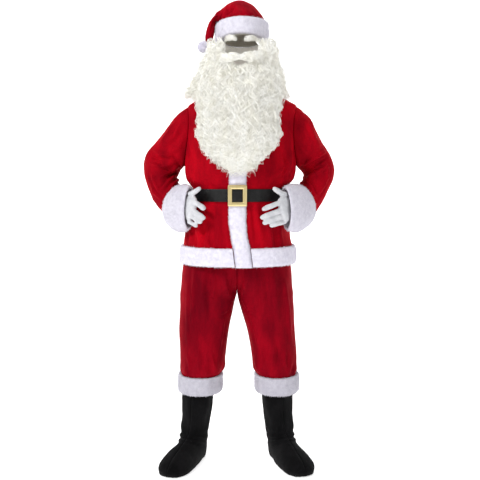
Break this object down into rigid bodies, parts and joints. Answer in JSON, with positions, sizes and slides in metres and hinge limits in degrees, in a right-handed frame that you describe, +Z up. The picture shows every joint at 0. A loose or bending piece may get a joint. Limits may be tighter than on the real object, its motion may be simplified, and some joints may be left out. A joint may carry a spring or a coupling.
{
  "type": "santa suit",
  "caption": "Velvet costume suit as worn: plush-trimmed jacket, belt, trousers and boot covers, gloves, drooping hat, curled wig and long beard.",
  "frame": {"origin": "between the shoulders, where the jacket hangs on its wearer, on the plane of the side seams", "axes": "+Z up, -Y the front of the suit, +X the wearer's left"},
  "size_m": [0.769, 0.391, 1.834],
  "materials": {
    "beard": "curled synthetic hair",
    "belt": "smooth coated, satin",
    "belt_end": "smooth coated, satin",
    "boot_left_inner": "brushed felt",
    "boot_left_outer": "brushed felt",
    "boot_left_sole": "brushed felt",
    "boot_right_inner": "brushed felt",
    "boot_right_outer": "brushed felt",
    "boot_right_sole": "brushed felt",
    "buckle": "pale gold, brushed",
    "cuff_left": "plush fur",
    "cuff_right": "plush fur",
    "eyebrow_left": "curled synthetic hair",
    "eyebrow_right": "curled synthetic hair",
    "glove_left": "knitted",
    "glove_right": "knitted",
    "hat_band": "plush fur",
    "hat_cap": "velvet, short pile",
    "hem_band": "plush fur",
    "jacket_back": "velvet, short pile",
    "jacket_front_left": "velvet, short pile",
    "jacket_front_right": "velvet, short pile",
    "leg_cuff_left": "plush fur",
    "leg_cuff_right": "plush fur",
    "moustache": "curled synthetic hair",
    "placket": "plush fur",
    "pompom": "plush fur",
    "sleeve_left": "velvet, short pile",
    "sleeve_right": "velvet, short pile",
    "trouser_back_left": "velvet, short pile",
    "trouser_back_right": "velvet, short pile",
    "trouser_front_left": "velvet, short pile",
    "trouser_front_right": "velvet, short pile",
    "waistband": "velvet, short pile",
    "wig": "curled synthetic hair",
    "wig_cap": "curled synthetic hair"
  },
  "bodies": {
    "root": {"beard": "beard", "belt": "belt", "belt_end": "belt_end", "boot_left_inner": "boot_left_inner", "boot_left_outer": "boot_left_outer", "boot_left_sole": "boot_left_sole", "boot_right_inner": "boot_right_inner", "boot_right_outer": "boot_right_outer", "boot_right_sole": "boot_right_sole", "buckle": "buckle", "cuff_left": "cuff_left", "cuff_right": "cuff_right", "eyebrow_left": "eyebrow_left", "eyebrow_right": "eyebrow_right", "glove_left": "glove_left", "glove_right": "glove_right", "hat_band": "hat_band", "hat_cap": "hat_cap", "hem_band": "hem_band", "jacket_back": "jacket_back", "jacket_front_left": "jacket_front_left", "jacket_front_right": "jacket_front_right", "leg_cuff_left": "leg_cuff_left", "leg_cuff_right": "leg_cuff_right", "moustache": "moustache", "placket": "placket", "pompom": "pompom", "sleeve_left": "sleeve_left", "sleeve_right": "sleeve_right", "trouser_back_left": "trouser_back_left", "trouser_back_right": "trouser_back_right", "trouser_front_left": "trouser_front_left", "trouser_front_right": "trouser_front_right", "waistband": "waistband", "wig": "wig", "wig_cap": "wig_cap"}
  },
  "joints": []
}
